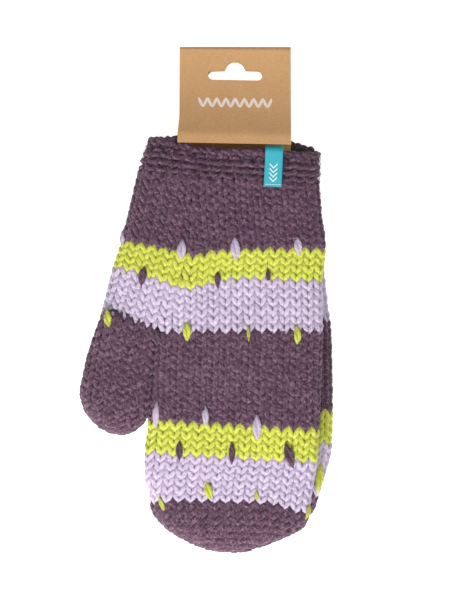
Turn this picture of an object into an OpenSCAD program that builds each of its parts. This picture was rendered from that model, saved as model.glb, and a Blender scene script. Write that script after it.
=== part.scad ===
// A pair of chunky hand-knitted mittens with fleece linings, stacked and laid flat,
// with a folded kraft header card pushed into the cuff of the front one.
// Cuffs and card point along +Y, fingertips along -Y, thumbs along -X, and +Z is up.
// The origin is the centre of the pair's footprint, on the surface that it lies on.

/* [Knitting] */
// Height of one knitted row
row_h = 4.75; // [3.5:0.05:6]
// Thickness of the knitted wall
knit_t = 4.5; // [3:0.1:5.5]
// Height of the ridged cuff
cuff_h = 17; // [8:1:30]
// Rows in the plain wrist band
wrist_rows = 9; // [6:1:12]
// Rows in each lime stripe
lime_rows = 4; // [3:1:6]
// Rows in each lilac stripe
lilac_rows = 6; // [4:1:8]
// Rows in the plain band between the two pairs of stripes
middle_rows = 12; // [10:1:16]
// Length of the rounded fingertip
tip_h = 27; // [20:1:40]

/* [Mitten] */
// Width of the cuff, laid flat
cuff_w = 102; // [90:1:125]
// Width of the hand, laid flat
hand_w = 102; // [90:1:125]
// Thickness of one mitten, laid flat
hand_t = 24; // [22:0.5:30]
// Width that the thumb gusset adds by the base of the thumb
gusset_w = 29; // [24:1:36]
// Rows of the middle band above the knuckles, where the fingers bend
palm_rows = 7; // [5:1:9]
// How far the rows drop toward the right at the cuff, degrees
cuff_drop = 3.7; // [0:0.1:6]
// How far the rows drop toward the right at the fingertip, degrees
tip_drop = 5; // [0:0.1:6]

/* [Thumb] */
// Length of the thumb from the middle of its base
thumb_l = 67; // [55:1:82]
// Width of the thumb at its widest
thumb_w = 44; // [34:0.5:50]
// Thickness of the thumb, laid flat
thumb_t = 22; // [20:0.5:28]
// How far the thumb leans away from the hand, degrees
thumb_lean = 11.5; // [8:0.5:14]
// How far the thumb's tip curls back toward the hand
thumb_curl = 5.5; // [0:0.5:8]

/* [Lining] */
// Thickness of the fleece lining
fleece_t = 2.2; // [1:0.1:3]
// Distance from the cuff's edge down to the lining's edge
lining_drop = 4; // [2:0.5:10]

/* [Accent stitches] */
// Length of one long accent stitch
accent_l = 13; // [8:0.5:18]
// Thickness of one long accent stitch
accent_d = 3.6; // [2:0.1:4.5]
// How far an accent stitch stands out of the knitting
accent_proud = 0.9; // [0.4:0.1:1.2]

/* [Label] */
// Width of the woven label
label_w = 10.5; // [6:0.5:20]
// Length of the label's run down the outside of the cuff
label_run = 18; // [10:0.5:24]
// Thickness of the label
label_t = 0.5; // [0.3:0.1:0.8]
// Distance from the middle of the cuff to the middle of the label
label_x = 22.5; // [14:0.5:26]

/* [Header card] */
// Width of the card
card_w = 65.4; // [50:0.2:80]
// Thickness of the card
card_t = 0.45; // [0.3:0.05:0.8]
// Height of the folded card above the cuff's edge
card_rise = 60.3; // [50:0.5:90]
// Length of the tongue inside the mitten
tongue_l = 30; // [15:1:50]
// Rise of the front leaf from its fold to its lower edge
leaf_rise = 12; // [12:0.5:20]
// Depth of the bent lip along the front leaf's lower edge
lip_h = 5; // [2:0.5:8]
// Width of the hanging slot
slot_w = 32; // [24:0.5:36]
// Height of the straight part of the hanging slot
slot_h = 6.2; // [5:0.1:8]
// Radius of the hanging slot's round crown
crown_r = 6; // [4.5:0.1:8]
// Distance from the fold down to the middle of the slot
slot_drop = 17.7; // [14:0.1:30]

/* [Pair] */
// How far the rear mitten is turned from the front one, degrees
rear_turn = 3; // [0:0.5:6]
// How far the rear mitten lies behind the front one, toward the card
rear_shift = 4; // [0:0.5:10]
// Height between the two mittens
stack_gap = 1.6; // [1.5:0.1:4]

/* [Clearances] */
// Gap between pieces of one mitten that lie against each other
seam_gap = 0.1; // [0.05:0.05:0.3]
// Gap at the base of the thumb and at the knuckles
bend_gap = 0.5; // [0.3:0.1:1]
// Gap between the thumb and the hand beside it
valley_gap = 1.4; // [1:0.1:2]
// Gap round the card's fold and round the label
card_gap = 0.3; // [0.2:0.1:0.5]

/* [Hidden] */

purple = "#5f465a";
lime = "#d7e13c";
lilac = "#d4c4e2";
charcoal = "#323437";
kraft = "#cda06e";
teal = "#14b9c8";
white = "#f4f4f2";

// Points round one loop, and the power that squares off its cross-section
loop_n = 24;
loop_power = 3;
// Share of the cross-section's half height that stays under its middle, so it lies flat
flat_share = 0.94;
// Power of the fingertip's outline, where 2 is an ellipse
tip_power = 1.8;
lining_inset = knit_t + seam_gap;
pocket_inset = lining_inset + fleece_t;

// Distances of the row lines from the cuff's edge, down the middle of the hand
wrist_v = cuff_h;
lime_v = wrist_v + wrist_rows * row_h;
lilac_v = lime_v + lime_rows * row_h;
split_v = lilac_v + lilac_rows * row_h;
bend_v = split_v + palm_rows * row_h;
finger_lime_v = split_v + middle_rows * row_h;
finger_lilac_v = finger_lime_v + lime_rows * row_h;
tip_v = finger_lilac_v + lilac_rows * row_h;
row_lines = [0, wrist_v, lime_v, lilac_v, split_v, bend_v, finger_lime_v, finger_lilac_v, tip_v];
// Distances at which every wall and lining of the hand takes a loop, so that they follow each
// other. They lie closer beside the thumb, whose round side the hand follows.
loop_gap = 12;
hand_loops = [for (k = [0 : len(row_lines) - 2])
                  let (from = row_lines[k], run = row_lines[k + 1] - from,
                       beside_thumb = from >= split_v && from < finger_lime_v,
                       n = ceil(run / loop_gap) * (beside_thumb ? 3 : 1))
                  for (i = [0 : n - 1]) from + run * i / n];
// The loops of a band between two distances: its two ends and those that lie between them
function stops(from, to) =
    concat([from], [for (v = hand_loops) if (v > from + bend_gap * 2 && v < to - bend_gap * 2) v], [to]);

// Thumb frame: its base line runs from the gusset's outer edge to the foot of the hand
base_drop = 16.3;
split_left = -hand_w / 2 - gusset_w;
split_kink = -hand_w / 2 + 6;
thumb_o = [(split_left + split_kink) / 2, -split_v + (split_kink - split_left) / 2 * tan(base_drop)];
thumb_base_w = (split_kink - split_left) / cos(base_drop) - valley_gap;
thumb_round = thumb_w * 0.55;

function turned(p, a) = [p.x * cos(a) - p.y * sin(a), p.x * sin(a) + p.y * cos(a)];
function flatten(lists) = [for (one = lists) for (p = one) p];
// A round end: 1 at the start of the rounding, falling to 0 at its end
function rounded(share, power) = pow(max(0, 1 - pow(share, power)), 1 / power);

// Half the thumb's width at the distance d down its length
function thumb_half(d) =
    d <= thumb_l - thumb_round
        ? lookup(d, [[0, thumb_base_w / 2], [(thumb_l - thumb_round) * 0.5, thumb_w * 0.47],
                     [thumb_l - thumb_round, thumb_w / 2]])
        : thumb_w / 2 * max(0.22, rounded((d - thumb_l + thumb_round) / thumb_round, 2.2));
// Thickness of the thumb at the distance d down its length
function thumb_thick(d) =
    d <= thumb_l - thumb_round
        ? thumb_t
        : thumb_t * max(0.5, rounded((d - thumb_l + thumb_round) / thumb_round, 2.6));
// One end of the thumb's row at the distance d: side is -1 for the outer end, 1 for the inner
function thumb_end(d, side) =
    let (drop = d == 0 ? base_drop - thumb_lean : 0, half = thumb_half(d) * side,
         shift = thumb_curl * pow(d / thumb_l, 4))
    thumb_o + turned([half + shift, -d - half * tan(drop)], -thumb_lean);
thumb_d = [0, (thumb_l - thumb_round) * 0.5, thumb_l - thumb_round, thumb_l - thumb_round * 0.6,
           thumb_l - thumb_round * 0.3, thumb_l - thumb_round * 0.1, thumb_l];

// Left and right edges of the hand at the row line v
function wide_left(v) = lookup(v, [[0, -cuff_w / 2], [split_v, split_left]]);
thumb_side = [for (d = thumb_d) let (p = thumb_end(d, 1)) [-p.y, p.x + valley_gap]];
function narrow_left(v) = max(-hand_w / 2 - 1, lookup(v, thumb_side));
function plain_right(v) =
    lookup(v, [[0, cuff_w / 2], [wrist_v, cuff_w / 2 - 1], [lime_v, hand_w / 2 + 3],
               [lilac_v, hand_w / 2 + 1], [finger_lime_v, hand_w / 2 - 1],
               [tip_v, hand_w / 2 - 7]]);
// How far the rows drop toward the right at the row line v
function row_drop(v) =
    lookup(v, [[0, cuff_drop], [lime_v, 0], [split_v, 0], [finger_lime_v, tip_drop * 0.7],
               [tip_v, tip_drop]]);
// How far the gusset's rows rise toward the left of the kink at the row line v
function row_rise(v) = lookup(v, [[wrist_v, 0], [lime_v, base_drop * 0.8], [split_v, base_drop]]);
function kink_x(v) = lookup(v, [[wrist_v, -hand_w / 4], [lime_v, -hand_w / 4], [split_v, split_kink]]);

// Half a width drawn inward by the wall depth, which never closes up where the end is narrow
function drawn(half, in) = max(half - in, half / 2 - in / 4);
// One loop round a flat tube between two edges. The wall depth in draws it inward, and
// drop, kink and rise set the line that its row follows.
function loop(left, right, thick, v, drop, kink, rise, in) =
    let (a = drawn((right - left) / 2, in), cx = (left + right) / 2,
         h = thick / (1 + flat_share), cz = h * flat_share, hz = drawn(h, in))
    [for (i = [0 : loop_n - 1])
        let (t = 360 * (i + 0.5) / loop_n, c = cos(t), s = sin(t),
             x = cx + a * sign(c) * pow(abs(c), 2 / loop_power),
             z = cz + hz * max(-flat_share, sign(s) * pow(abs(s), 2 / loop_power)))
        [x, -v - x * tan(drop) + max(0, kink - x) * tan(rise), z]];
function wide_loop(v, in) =
    loop(wide_left(v), plain_right(v), hand_t, v, row_drop(v), kink_x(v), row_rise(v), in);
function narrow_loop(v, in) =
    loop(narrow_left(v), plain_right(v), hand_t, v, row_drop(v), narrow_left(v), 0, in);
// The hand's loop in the rounded tip, where share runs from 0 to 1 along the rounding
function tip_loop(share, in) =
    let (left = narrow_left(tip_v), right = plain_right(tip_v), mid = (left + right) / 2,
         half = (right - left) / 2 * max(0.3, rounded(share, tip_power)), deep = in * share * 0.8,
         v = tip_v + (tip_h - in) * share)
    loop(mid - half - deep, mid + half + deep, hand_t * max(0.55, rounded(share, 2.6)), v,
         tip_drop, left, 0, in);
function thumb_loop(d, in) =
    let (left = thumb_end(d, -1), right = thumb_end(d, 1),
         span = right - left, thick = thumb_thick(d), long = norm(span),
         flat = loop(0, long, thick, 0, 0, 0, 0, in))
    [for (p = flat) let (q = left + span * p.x / long) [q.x, q.y, p.z]];

// Faces of the wall between the loops of an outer and an inner stack, as triangles
function side_faces(n, rings, start, out) =
    [for (s = [0 : rings - 2]) for (i = [0 : n - 1])
        let (a = start + s * n + i, b = a + n, j = (i + 1) % n,
             c = start + (s + 1) * n + j, d = start + s * n + j)
        each (out ? [[a, b, c], [a, c, d]] : [[a, c, b], [a, d, c]])];
function rim_faces(n, outer, inner, top) =
    [for (i = [0 : n - 1])
        let (j = (i + 1) % n, a = outer + i, b = outer + j, c = inner + j, d = inner + i)
        each (top ? [[a, b, c], [a, c, d]] : [[b, a, d], [b, d, c]])];

// A wall open at both ends
module sleeve(outer, inner) {
    rings = len(outer);
    shift = rings * loop_n;
    last = (rings - 1) * loop_n;
    polyhedron(concat(flatten(outer), flatten(inner)),
               concat(side_faces(loop_n, rings, 0, true), side_faces(loop_n, rings, shift, false),
                      rim_faces(loop_n, 0, shift, true),
                      rim_faces(loop_n, last, shift + last, false)));
}

// A wall that closes over at its far end
module pouch(outer, inner) {
    shift = len(outer) * loop_n;
    last = (len(outer) - 1) * loop_n;
    inner_last = shift + (len(inner) - 1) * loop_n;
    polyhedron(concat(flatten(outer), flatten(inner)),
               concat(side_faces(loop_n, len(outer), 0, true),
                      side_faces(loop_n, len(inner), shift, false),
                      rim_faces(loop_n, 0, shift, true),
                      [[for (i = [loop_n - 1 : -1 : 0]) last + i],
                       [for (i = [0 : loop_n - 1]) inner_last + i]]));
}

// Bands of the hand between two row lines, with the wall between two depths
module wide_band(from, to, out, in) {
    rows = stops(from, to - seam_gap);
    sleeve([for (v = rows) wide_loop(v, out)], [for (v = rows) wide_loop(v, in)]);
}
module narrow_band(from, to, out, in) {
    rows = stops(from, to);
    sleeve([for (v = rows) narrow_loop(v, out)], [for (v = rows) narrow_loop(v, in)]);
}
tip_shares = [0, 0.3, 0.55, 0.75, 0.9, 1];
// The closed end of the hand from a row line down, with the wall between two depths
module closed_hand(from, out, in) {
    rows = from < tip_v ? stops(from, tip_v - seam_gap) : [];
    pouch(concat([for (v = rows) narrow_loop(v, out)], [for (s = tip_shares) tip_loop(s, out)]),
          concat([for (v = rows) narrow_loop(v, in)], [for (s = tip_shares) tip_loop(s, in)]));
}
// The closed thumb with its wall between two depths
module closed_thumb(out, in) {
    translate([0, -bend_gap, 0])
        pouch([for (d = thumb_d) short_thumb_loop(d, out)], [for (d = thumb_d) short_thumb_loop(d, in)]);
}
// A thumb loop drawn back toward the base, so that the walls stop short of the tip by their depth
function short_thumb_loop(d, in) =
    let (back = turned([0, in * d / thumb_l], -thumb_lean))
    [for (q = thumb_loop(d, in)) [q.x + back.x, q.y + back.y, q.z]];

// Height of the hand's upper surface at x on the row line v
function hand_top(x, left, right) =
    let (h = hand_t / (1 + flat_share), share = abs(x - (left + right) / 2) / ((right - left) / 2))
    h * flat_share + h * pow(max(0, 1 - pow(share, loop_power)), 1 / loop_power);

// One long stitch: a spindle that lies along the wale
module accent(x, y, top, lean) {
    half = accent_l / 2;
    sides = [for (k = [0 : 8]) let (a = k * 180 / 8) [accent_d / 2 * sin(a), -half * cos(a)]];
    translate([x, y, top + accent_proud - accent_d / 2])
        rotate([90, 0, -lean])
            rotate_extrude($fn = 24)
                polygon(sides);
}
// Long stitches in a row that spans two bands: their places along it are in rows and wales
module accents(v, places, wide) {
    for (x = places) {
        left = wide ? wide_left(v) : narrow_left(v);
        lift = wide ? max(0, kink_x(v) - x) * tan(row_rise(v)) : 0;
        lean = wide && x < kink_x(v) ? row_rise(v) : 0;
        accent(x, -v - x * tan(row_drop(v)) + lift, hand_top(x, left, plain_right(v)), lean);
    }
}
function spread(first, step, count) = [for (k = [0 : count - 1]) first + step * k];

// Places of each row of accent stitches across the hand
wrist_lilac_x = spread(wide_left(lime_v) + 4, 32, 4);
wrist_purple_x = spread(wide_left(lilac_v) + 18, 36, 3);
palm_lime_x = spread(wide_left(split_v) + 6, 38, 4);
finger_lilac_x = spread(narrow_left(finger_lime_v) + 5, 30, 3);
finger_purple_x = spread(narrow_left(finger_lilac_v) + 20, 32, 3);
finger_lime_x = spread(narrow_left(tip_v) + 9, 28.5, 4);

// Places that the pair's footprint and the card take from the mitten
front_z = hand_t + stack_gap;
card_z = hand_t / 2 + 1.5;
fold_z = card_z + card_t + card_gap / 2;
front_outline = flatten([for (d = thumb_d) thumb_loop(d, 0)]);
rear_outline = flatten([for (v = [wrist_v, lime_v, lilac_v, split_v, bend_v, finger_lime_v,
                                  finger_lilac_v, (finger_lilac_v + tip_v) / 2, tip_v])
                            narrow_loop(v, 0)]);
x_low = min([for (p = front_outline) p.x]);
x_high = max([for (p = rear_outline) turned(p, rear_turn).x]);
y_low = min([for (p = tip_loop(1, 0)) p.y]);
centre = [(x_low + x_high) / 2, (y_low + card_rise) / 2];

module front() {
    translate([-centre.x, -centre.y, front_z]) children();
}
module rear() {
    translate([-centre.x, -centre.y + rear_shift, 0]) rotate([0, 0, rear_turn]) children();
}

// Shell pieces of one mitten, each in its yarn's colour
module cuff() {
    color(purple) wide_band(0, wrist_v, 0, knit_t);
}
module wrist_band() {
    color(purple) wide_band(wrist_v, lime_v, 0, knit_t);
}
module wrist_lime_stripe() {
    color(lime) wide_band(lime_v, lilac_v, 0, knit_t);
}
module wrist_lilac_stripe() {
    color(lilac) wide_band(lilac_v, split_v, 0, knit_t);
}
module palm_band() {
    color(purple) narrow_band(split_v, bend_v, 0, knit_t);
}
module knuckle_band() {
    color(purple) narrow_band(bend_v + bend_gap, finger_lime_v - seam_gap, 0, knit_t);
}
module middle_band() {
    color(purple) narrow_band(split_v, finger_lime_v - seam_gap, 0, knit_t);
}
module finger_lime_stripe() {
    color(lime) narrow_band(finger_lime_v, finger_lilac_v - seam_gap, 0, knit_t);
}
module finger_lilac_stripe() {
    color(lilac) narrow_band(finger_lilac_v, tip_v - seam_gap, 0, knit_t);
}
module fingertip() {
    color(purple) closed_hand(tip_v, 0, knit_t);
}
module thumb() {
    color(purple) closed_thumb(0, knit_t);
}

// Fleece lining of one mitten
module wrist_lining() {
    color(charcoal) wide_band(lining_drop, split_v, lining_inset, pocket_inset);
}
module palm_lining() {
    color(charcoal) narrow_band(split_v, bend_v, lining_inset, pocket_inset);
}
module finger_lining(from) {
    color(charcoal) closed_hand(from, lining_inset, pocket_inset);
}
module thumb_lining() {
    color(charcoal) closed_thumb(lining_inset, pocket_inset);
}

// Woven label: it lies down the cuff, turns over its edge and runs on inside
label_top = hand_top(label_x - label_w / 2, wide_left(0), plain_right(0)) + card_gap;
label_low = hand_top(label_x + label_w / 2, wide_left(0), plain_right(0)) - pocket_inset
            - card_gap - label_t;
label_turn = (label_top - label_low) / 2;
label_edge = -(label_x + label_w) * tan(cuff_drop) + card_gap;
function label_arc(r) =
    [for (a = [90 : -15 : -90]) [label_edge + r * cos(a), (label_top + label_low) / 2 + r * sin(a)]];
module label() {
    outer = label_turn + label_t;
    outside = concat([[label_edge - label_run, (label_top + label_low) / 2 + outer]], label_arc(outer),
                     [[label_edge - label_run / 2, (label_top + label_low) / 2 - outer]]);
    inside = concat([[label_edge - label_run, (label_top + label_low) / 2 + label_turn]],
                    label_arc(label_turn),
                    [[label_edge - label_run / 2, (label_top + label_low) / 2 - label_turn]]);
    count = len(inside);
    back = [for (k = [1 : count]) inside[count - k]];
    color(teal)
        translate([label_x - label_w / 2, 0, 0])
            rotate([90, 0, 90])
                linear_extrude(label_w)
                    polygon(concat(outside, back));
}
// Short stitches that hold the label's lower edge down
module label_stitches() {
    thread_d = 0.5;
    count = 5;
    pitch = label_w / count;
    stitch_z = (label_top + label_low) / 2 + label_turn + label_t;
    color(white)
        for (k = [0 : count - 1])
            translate([label_x - label_w / 2 + pitch * (k + 0.5), label_edge - label_run + 1.2, stitch_z])
                rotate([0, 90, 0])
                    cylinder(h = pitch * 0.7, d = thread_d, center = true, $fn = 16);
}

// Hanging slot, cut straight down through both leaves
module hanging_slot() {
    reach = hand_t * 3;
    translate([0, card_rise - slot_drop, -reach / 2]) {
        translate([-(slot_w - slot_h) / 2, -slot_h / 2, 0]) cube([slot_w - slot_h, slot_h, reach]);
        for (side = [-1, 1])
            translate([side * (slot_w - slot_h) / 2, 0, 0]) cylinder(h = reach, d = slot_h, $fn = 32);
        translate([0, slot_h / 2 - crown_r * 0.1, 0]) cylinder(h = reach, r = crown_r, $fn = 32);
    }
}
// Back leaf of the card, with the tongue that goes into the mitten
module card_back_leaf() {
    color(kraft)
        difference() {
            translate([-card_w / 2, -tongue_l, card_z]) cube([card_w, card_rise + tongue_l, card_t]);
            hanging_slot();
        }
}
// Front leaf: it leans up from the fold to its lower edge, where a lip bends further up
leaf_end = label_edge + label_turn + 1.5;
leaf_score = leaf_end + lip_h;
module card_front_leaf() {
    low = fold_z + card_gap / 2;
    slope = leaf_rise / (card_rise - leaf_end);
    score_z = low + slope * (card_rise - leaf_score);
    end_z = score_z + slope * 1.6 * lip_h;
    profile = [[card_rise, low], [leaf_score, score_z], [leaf_end, end_z],
               [leaf_end, end_z + card_t], [leaf_score, score_z + card_t], [card_rise, low + card_t]];
    color(kraft)
        difference() {
            translate([-card_w / 2, 0, 0])
                rotate([90, 0, 90])
                    linear_extrude(card_w)
                        polygon(profile);
            hanging_slot();
        }
}

front() cuff();  // front_cuff
front() wrist_band();  // front_wrist_band
front() wrist_lime_stripe();  // front_wrist_lime_stripe
front() wrist_lilac_stripe();  // front_wrist_lilac_stripe
front() palm_band();  // front_palm_band
front() knuckle_band();  // front_knuckle_band
front() finger_lime_stripe();  // front_finger_lime_stripe
front() finger_lilac_stripe();  // front_finger_lilac_stripe
front() fingertip();  // front_fingertip
front() thumb();  // front_thumb
front() wrist_lining();  // front_wrist_lining
front() palm_lining();  // front_palm_lining
front() finger_lining(bend_v + bend_gap);  // front_finger_lining
front() thumb_lining();  // front_thumb_lining
front() color(lilac) accents(lime_v, wrist_lilac_x, true);  // front_wrist_lilac_accents
front() color(purple) accents(lilac_v, wrist_purple_x, true);  // front_wrist_purple_accents
front() color(lime) accents(split_v - accent_l / 2 - 1, palm_lime_x, true);  // front_palm_lime_accents
front() color(lilac) accents(finger_lime_v, finger_lilac_x, false);  // front_finger_lilac_accents
front() color(purple) accents(finger_lilac_v, finger_purple_x, false);  // front_finger_purple_accents
front() color(lime) accents(tip_v - accent_l / 2, finger_lime_x, false);  // front_finger_lime_accents
front() label();
front() label_stitches();
rear() cuff();  // rear_cuff
rear() wrist_band();  // rear_wrist_band
rear() wrist_lime_stripe();  // rear_wrist_lime_stripe
rear() wrist_lilac_stripe();  // rear_wrist_lilac_stripe
rear() middle_band();  // rear_middle_band
rear() finger_lime_stripe();  // rear_finger_lime_stripe
rear() finger_lilac_stripe();  // rear_finger_lilac_stripe
rear() fingertip();  // rear_fingertip
rear() thumb();  // rear_thumb
rear() wrist_lining();  // rear_wrist_lining
rear() finger_lining(split_v);  // rear_finger_lining
rear() thumb_lining();  // rear_thumb_lining
rear() color(lilac) accents(lime_v, wrist_lilac_x, true);  // rear_wrist_lilac_accents
rear() color(purple) accents(lilac_v, wrist_purple_x, true);  // rear_wrist_purple_accents
rear() color(lime) accents(split_v - accent_l / 2 - 1, palm_lime_x, true);  // rear_palm_lime_accents
rear() color(lilac) accents(finger_lime_v, finger_lilac_x, false);  // rear_finger_lilac_accents
rear() color(purple) accents(finger_lilac_v, finger_purple_x, false);  // rear_finger_purple_accents
rear() color(lime) accents(tip_v - accent_l / 2, finger_lime_x, false);  // rear_finger_lime_accents
front() card_back_leaf();
front() card_front_leaf();
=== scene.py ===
"""A pair of chunky knitted mittens with fleece linings, stacked under a folded header card.

Every wall of knitting is built from its yarn: each row is one closed loop of yarn that winds
through its stitches on the mitten's own surface. Shapes are worked out in millimetres in a
mitten's own frame, with its origin in the middle of the cuff's edge and its fingertips along
-Y, and become metres in the row frame where the meshes are made.
"""
import math
from functools import partial

import bpy
import numpy as np
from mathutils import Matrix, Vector
from mathutils.geometry import delaunay_2d_cdt


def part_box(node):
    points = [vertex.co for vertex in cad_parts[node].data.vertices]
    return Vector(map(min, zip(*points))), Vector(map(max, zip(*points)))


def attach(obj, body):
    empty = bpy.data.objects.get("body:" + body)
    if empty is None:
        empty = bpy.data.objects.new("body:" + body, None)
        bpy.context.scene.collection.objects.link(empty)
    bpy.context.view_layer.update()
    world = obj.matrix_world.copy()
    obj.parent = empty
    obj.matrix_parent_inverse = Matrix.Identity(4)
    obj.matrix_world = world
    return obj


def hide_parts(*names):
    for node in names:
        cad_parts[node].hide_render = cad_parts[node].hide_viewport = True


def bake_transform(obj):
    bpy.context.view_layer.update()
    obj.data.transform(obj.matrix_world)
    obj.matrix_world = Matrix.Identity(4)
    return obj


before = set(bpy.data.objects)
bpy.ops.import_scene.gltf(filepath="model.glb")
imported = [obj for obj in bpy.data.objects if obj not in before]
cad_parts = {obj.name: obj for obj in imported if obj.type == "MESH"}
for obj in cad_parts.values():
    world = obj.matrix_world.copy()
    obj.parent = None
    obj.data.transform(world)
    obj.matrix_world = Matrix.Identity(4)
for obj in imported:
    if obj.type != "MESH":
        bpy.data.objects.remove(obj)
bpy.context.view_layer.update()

MM = 0.001
scene = bpy.context.scene

# ---- sizes, as in the CAD model
HAND_W = 102.0
HAND_T = 24.0
GUSSET_W = 29.0
THUMB_L = 67.0
THUMB_W = 44.0
THUMB_T = 22.0
THUMB_LEAN = math.radians(11.5)
THUMB_CURL = 5.5
BASE_DROP = math.radians(16.3)
ROW_H = 4.75
CUFF_H = 17.0
TIP_H = 27.0
KNIT_T = 4.5
FLEECE_T = 2.2
LABEL_W = 10.5
LABEL_RUN = 18.0
LABEL_X = 22.5
CARD_W = 65.4
CARD_T = 0.45
CARD_RISE = 60.3
TONGUE_L = 30.0
LEAF_RISE = 12.0
LIP_H = 5.0
SLOT_W = 32.0
SLOT_H = 6.2
CROWN_R = 6.0
SLOT_DROP = 17.7
REAR_TURN = math.radians(3)
REAR_SHIFT = 4.0

# Distances of the row lines from the cuff's edge, down the middle of the hand
WRIST_V = CUFF_H
LIME_V = WRIST_V + 9 * ROW_H
LILAC_V = LIME_V + 4 * ROW_H
SPLIT_V = LILAC_V + 6 * ROW_H
BEND_V = SPLIT_V + 7 * ROW_H
FINGER_LIME_V = SPLIT_V + 12 * ROW_H
FINGER_LILAC_V = FINGER_LIME_V + 4 * ROW_H
TIP_V = FINGER_LILAC_V + 6 * ROW_H
HAND_V = TIP_V + TIP_H

# The front mitten's origin in the row frame comes from the card, which stands in its middle
card_low, card_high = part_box("card_back_leaf")
CUFF_X = (card_low.x + card_high.x) / 2 / MM
CUFF_Y = card_high.y / MM - CARD_RISE
FRONT_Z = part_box("front_cuff")[0].z / MM


def to_front(p):
    """Points of the front mitten's own frame, in the row frame and in metres."""
    return (np.asarray(p, float) + [CUFF_X, CUFF_Y, FRONT_Z]) * MM


def stand(name, data):
    """A new object in the scene."""
    made = bpy.data.objects.new(name, data)
    scene.collection.objects.link(made)
    return made


def smooth(t):
    """0 to 1 with soft ends."""
    t = np.clip(t, 0, 1)
    return t * t * (3 - 2 * t)


# The wool lying on the table is pressed flat
REST_Z = 0.05


# How far parts of the rear mitten are moved to the left, its corner down and its thumb up
RIGHT_SINK = 2.6
CORNER_SINK = 5.0
TIP_SINK = 6.5
LEFT_SINK = -1.5
CORNER_DROP = 8.5
THUMB_OUT = 6.5
THUMB_RISE = 4.0


def slumped(p):
    """The rear mitten's right side sinks inward behind the front one, most of all at its ends.

    Its thumb lies further out and nearer the wrist."""
    x, y = p[..., 0], p[..., 1]
    right = smooth((x + 5) / 50)
    wrist = smooth((y + 130) / 70)
    corner = smooth((y + 26) / 26) * smooth((x - 12) / 30)
    tip = smooth((-y - 180) / 45)
    thumb = smooth((-x - 40) / 12) * smooth((-y - 120) / 50)
    sideways = (RIGHT_SINK * right * wrist + CORNER_SINK * corner + TIP_SINK * right * tip
                + THUMB_OUT * thumb + LEFT_SINK * smooth(-x / 50) * wrist)
    return np.stack([x - sideways, y - CORNER_DROP * corner + THUMB_RISE * thumb, p[..., 2]], -1)


def to_rear(p):
    """Points of the rear mitten's own frame, in the row frame and in metres."""
    p = slumped(np.asarray(p, float))
    c, s = math.cos(REAR_TURN), math.sin(REAR_TURN)
    turned = np.stack([p[..., 0] * c - p[..., 1] * s, p[..., 0] * s + p[..., 1] * c, p[..., 2]], -1)
    turned[..., 2] = np.maximum(turned[..., 2], REST_Z)
    return (turned + [CUFF_X, CUFF_Y + REAR_SHIFT, 0]) * MM


# ---- colours and materials
WHITE = (1, 1, 1, 1)


def srgb(red, green, blue):
    """A colour given as the eye sees it, 0 to 255, as the renderer's linear one."""
    return (*(((c / 255 + 0.055) / 1.055) ** 2.4 if c > 10 else c / 255 / 12.92
              for c in (red, green, blue)), 1)


def add(tree, kind, inputs=(), **settings):
    """A new shader node. Each input is a name or number with a value or a socket to link."""
    node = tree.nodes.new("ShaderNode" + kind)
    for key, value in settings.items():
        setattr(node, key, value)
    for key, value in dict(inputs).items():
        if isinstance(value, bpy.types.NodeSocket):
            tree.links.new(value, node.inputs[key])
        else:
            node.inputs[key].default_value = value
    return node


def new_material(name, **shader):
    """A material, its node tree and its shader with the given sockets set.

    Its name is the record's slot that its pieces take their finish from."""
    material = bpy.data.materials.new(name)
    material["slot"] = name
    material.use_nodes = True
    tree = material.node_tree
    tree.nodes.clear()
    principled = add(tree, "BsdfPrincipled", {k.replace("_", " "): v for k, v in shader.items()})
    output = add(tree, "OutputMaterial")
    tree.links.new(principled.outputs[0], output.inputs[0])
    return material, tree, principled


def ramp(tree, factor, stops):
    """A colour ramp through (position, colour) stops."""
    node = add(tree, "ValToRGB", {"Fac": factor})
    elements = node.color_ramp.elements
    while len(elements) < len(stops):
        elements.new(0.5)
    for element, (position, colour) in zip(elements, stops):
        element.position = position
        element.color = colour
    return node.outputs[0]


def mix(tree, factor, a, b, blend="MIX"):
    node = add(tree, "Mix", {0: factor, 6: a, 7: b}, data_type="RGBA", blend_type=blend)
    return node.outputs[2]


def math_node(tree, operation, a, b=0.0):
    return add(tree, "Math", {0: a, 1: b}, operation=operation).outputs[0]


def noise(tree, place, scale, detail, roughness=0.5):
    settings = {"Vector": place, "Scale": scale, "Detail": detail, "Roughness": roughness}
    return add(tree, "TexNoise", settings).outputs[0]


def attribute(tree, name, socket):
    return add(tree, "Attribute", attribute_name=name).outputs[socket]


def multiplied(tree, colour, by, factor=1.0):
    return mix(tree, factor, colour, by, "MULTIPLY")


def clouded(tree, colour, place, scale, low):
    """A colour made a little darker in soft patches."""
    tone = ramp(tree, noise(tree, place, scale, 2.0), [(0.3, (low, low, low, 1)), (0.7, WHITE)])
    return multiplied(tree, colour, tone)


def finish(tree, shader, colour, relief=None, strength=1.0, depth=1.0):
    """Links the colour to the shader, and the relief as bumps of a depth in millimetres."""
    tree.links.new(colour, shader.inputs["Base Color"])
    if relief:
        bump = add(tree, "Bump", {"Height": relief, "Strength": strength, "Distance": depth * MM})
        tree.links.new(bump.outputs[0], shader.inputs["Normal"])


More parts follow.
